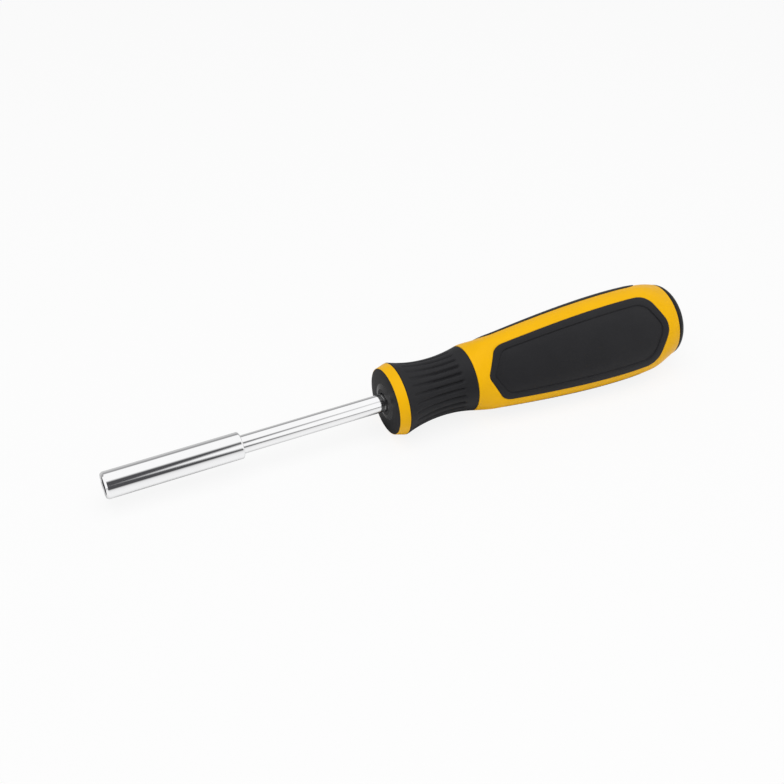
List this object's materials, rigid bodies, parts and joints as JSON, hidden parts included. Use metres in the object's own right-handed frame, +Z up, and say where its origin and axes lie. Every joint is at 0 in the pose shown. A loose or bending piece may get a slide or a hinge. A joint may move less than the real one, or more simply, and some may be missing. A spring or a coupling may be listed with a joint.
{
  "type": "bit holder screwdriver",
  "caption": "Bit holder screwdriver: chromed shaft with a magnetic hexagon bit socket, in a lobed yellow handle with black soft grip panels, a ribbed finger waist and a domed end cap.",
  "frame": {"origin": "centre of the bit socket's mouth", "axes": "+X along the axis from the socket's mouth to the butt of the handle, +Z up with the tool lying on its under grip panel, +Y to the right hand of a user who points the tool away"},
  "size_m": [0.22, 0.0336, 0.0332],
  "materials": {
    "chrome_steel": "bright chrome plate on steel",
    "spring_steel": "plain drawn wire",
    "magnet": "nickel plated",
    "hard_black": "satin moulded",
    "hard_yellow": "satin gloss moulded",
    "soft_black": "fine matt moulded"
  },
  "bodies": {
    "root": {"bit_sleeve": "chrome_steel", "retaining_ring": "spring_steel", "magnet": "magnet", "shaft": "chrome_steel", "handle_core": "hard_black", "handle_shell": "hard_yellow", "finger_grip": "soft_black", "grip_panel_left": "soft_black", "grip_panel_right": "soft_black", "grip_panel_under": "soft_black", "end_cap": "hard_black"}
  },
  "joints": []
}
